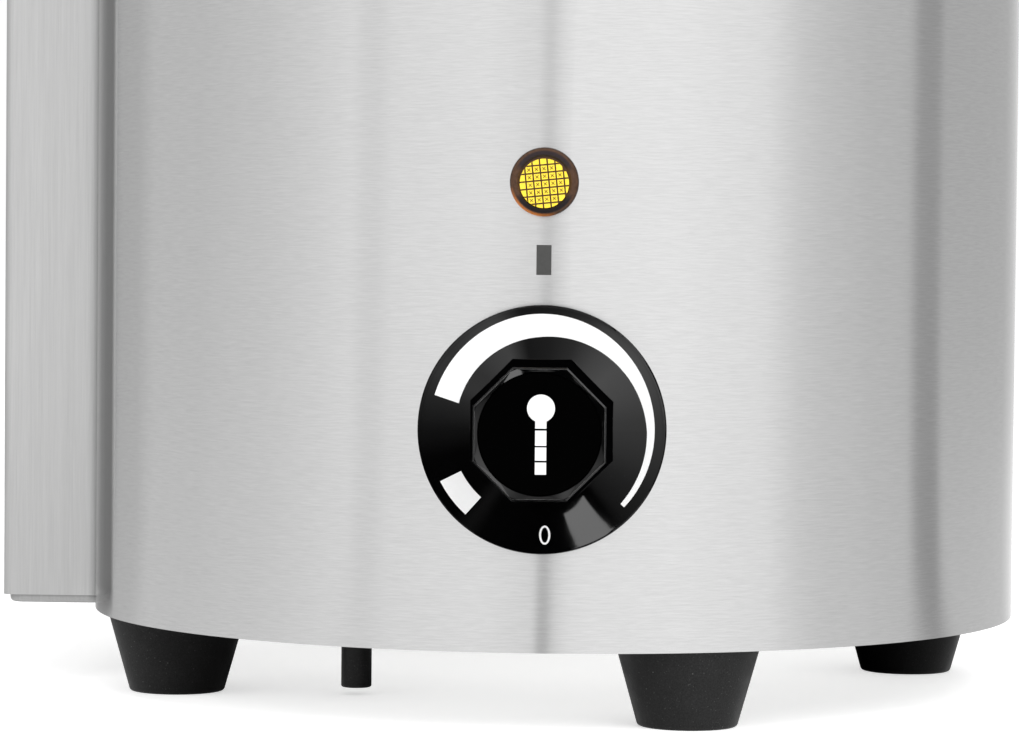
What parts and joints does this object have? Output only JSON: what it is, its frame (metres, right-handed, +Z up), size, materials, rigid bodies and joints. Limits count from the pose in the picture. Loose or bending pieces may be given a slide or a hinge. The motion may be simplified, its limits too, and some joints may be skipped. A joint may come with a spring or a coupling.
{
  "type": "hot dog steamer",
  "caption": "Countertop hot dog steamer: round steel steam base with a lift-off glass cylinder and sausage basket, and a box behind it with heated bun spikes.",
  "frame": {"origin": "on the surface it stands on, under the middle of the machine's box", "axes": "+X to the operator's right, +Y away from the operator, +Z up; the knob faces -Y"},
  "size_m": [0.295, 0.5162, 0.4452],
  "materials": {
    "shell_steel": "brushed round the body",
    "box_steel": "brushed upright",
    "inner_steel": "satin",
    "fastener_steel": "plated",
    "black_rubber": "dull",
    "clear_silicone": "satin",
    "knob_black": "gloss",
    "knob_face": "matt",
    "black_plastic": "satin",
    "switch_red": "gloss",
    "amber_lens": "clear gloss",
    "lamp_yellow": "moulded prisms",
    "clear_glass": "polished",
    "spike_metal": "turned and polished",
    "white_insulator": "satin",
    "terminal_brass": "plated"
  },
  "bodies": {
    "base": {"base_shell": "shell_steel", "base_plate": "inner_steel", "foot_front": "black_rubber", "foot_right": "black_rubber", "foot_rear": "black_rubber", "foot_left": "black_rubber", "toaster_foot_left": "black_rubber", "toaster_foot_right": "black_rubber", "foot_screws": "fastener_steel", "deck_ring": "shell_steel", "water_tank": "inner_steel", "heating_element": "inner_steel", "heater_pins": "terminal_brass", "heater_nuts": "inner_steel", "drain_pipe": "inner_steel", "dry_boil_cutout": "inner_steel", "energy_regulator": "black_plastic", "regulator_terminals": "terminal_brass", "regulator_screws": "fastener_steel", "lamp_lens": "amber_lens", "lamp_diffuser": "lamp_yellow", "lamp_holder": "black_plastic", "lamp_bulb": "lamp_yellow", "lamp_nut": "black_plastic", "toaster_wrapper": "box_steel", "toaster_tray": "box_steel", "toaster_screws": "fastener_steel", "toaster_top": "box_steel", "spike_1": "spike_metal", "spike_2": "spike_metal", "spike_3": "spike_metal", "spike_4": "spike_metal", "spike_collars": "white_insulator", "spike_nuts": "fastener_steel", "spike_cartridges": "spike_metal", "switch_body": "black_plastic", "cord_gland": "black_plastic", "gland_nut": "black_plastic", "terminal_block": "white_insulator", "wiring_grommet": "black_rubber", "toaster_thermostat": "inner_steel"},
    "knob": {"control_knob": "knob_black", "knob_cap": "knob_face", "knob_clip": "inner_steel", "regulator_shaft": "inner_steel"},
    "rocker": {"switch_rocker": "switch_red"},
    "glass": {"glass_cylinder": "clear_glass", "glass_foot_seal": "clear_silicone", "glass_rim_seal": "clear_silicone"},
    "basket": {"basket_tray": "inner_steel", "basket_legs": "inner_steel", "basket_divider": "inner_steel", "basket_rod": "inner_steel", "basket_nut": "inner_steel", "basket_handle": "black_plastic"},
    "lid": {"lid": "shell_steel", "lid_washer": "inner_steel", "lid_knob": "black_plastic", "lid_screw": "inner_steel"},
    "drain_plug": {"drain_cap": "black_rubber"}
  },
  "joints": [
    {"name": "knob_turn", "type": "hinge", "parent": "base", "child": "knob", "pos_m": [0.01557, -0.2319, 0.078], "axis": [0, 1, 0], "range_deg": [-180, 138]},
    {"name": "switch_press", "type": "hinge", "parent": "base", "child": "rocker", "pos_m": [-0.14313, -0.0409, 0.078], "axis": [0, 1, 0], "range_deg": [0, 18]},
    {"name": "glass_lift", "type": "slide", "parent": "base", "child": "glass", "axis": [0, 0, 1], "range_m": [0, 0.25]},
    {"name": "basket_lift", "type": "slide", "parent": "glass", "child": "basket", "axis": [0, 0, 1], "range_m": [0, 0.3]},
    {"name": "lid_lift", "type": "slide", "parent": "basket", "child": "lid", "axis": [0, 0, 1], "range_m": [0, 0.15]},
    {"name": "drain_cap_pull", "type": "slide", "parent": "base", "child": "drain_plug", "axis": [0, 0, 1], "range_m": [-0.022, 0]}
  ]
}
